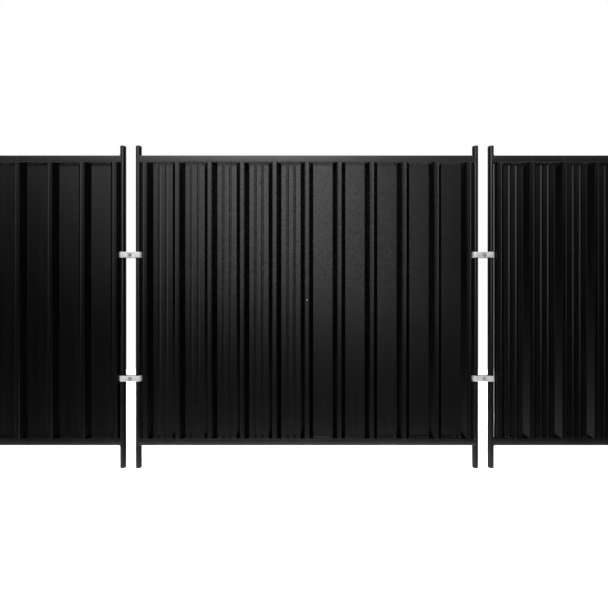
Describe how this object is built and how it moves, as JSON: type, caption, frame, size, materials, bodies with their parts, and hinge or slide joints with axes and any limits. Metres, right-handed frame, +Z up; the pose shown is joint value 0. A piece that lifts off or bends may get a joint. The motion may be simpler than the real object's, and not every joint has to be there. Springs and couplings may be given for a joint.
{
  "type": "steel hoarding fence",
  "caption": "Row of framed hoarding panels: ribbed sheet steel between round posts and box rails, joined post to post by pressed, bolted clips.",
  "frame": {"origin": "centre of the underside of the first post's foot cap", "axes": "+X along the row of panels, -Y out of the fair face, +Z up"},
  "size_m": [6.499, 0.0676, 1.995],
  "materials": {
    "post": "black semi-gloss powder coat on round steel tube",
    "rail": "black semi-gloss powder coat on rectangular steel tube",
    "sheet": "black coil-coated sheet steel, semi-gloss",
    "cap": "black moulded plastic",
    "clip": "galvanised pressed steel",
    "bolt": "zinc-plated steel"
  },
  "bodies": {
    "root": {"left_panel_left_post": "post", "left_panel_right_post": "post", "left_panel_top_rail": "rail", "left_panel_bottom_rail": "rail", "left_panel_left_sheet": "sheet", "left_panel_right_sheet": "sheet", "left_panel_post_caps": "cap", "middle_panel_left_post": "post", "middle_panel_right_post": "post", "middle_panel_top_rail": "rail", "middle_panel_bottom_rail": "rail", "middle_panel_left_sheet": "sheet", "middle_panel_right_sheet": "sheet", "middle_panel_post_caps": "cap", "right_panel_left_post": "post", "right_panel_right_post": "post", "right_panel_top_rail": "rail", "right_panel_bottom_rail": "rail", "right_panel_left_sheet": "sheet", "right_panel_right_sheet": "sheet", "right_panel_post_caps": "cap", "left_joint_upper_clip_front": "clip", "left_joint_upper_clip_back": "clip", "left_joint_upper_clip_bolt": "bolt", "left_joint_lower_clip_front": "clip", "left_joint_lower_clip_back": "clip", "left_joint_lower_clip_bolt": "bolt", "right_joint_upper_clip_front": "clip", "right_joint_upper_clip_back": "clip", "right_joint_upper_clip_bolt": "bolt", "right_joint_lower_clip_front": "clip", "right_joint_lower_clip_back": "clip", "right_joint_lower_clip_bolt": "bolt"}
  },
  "joints": []
}
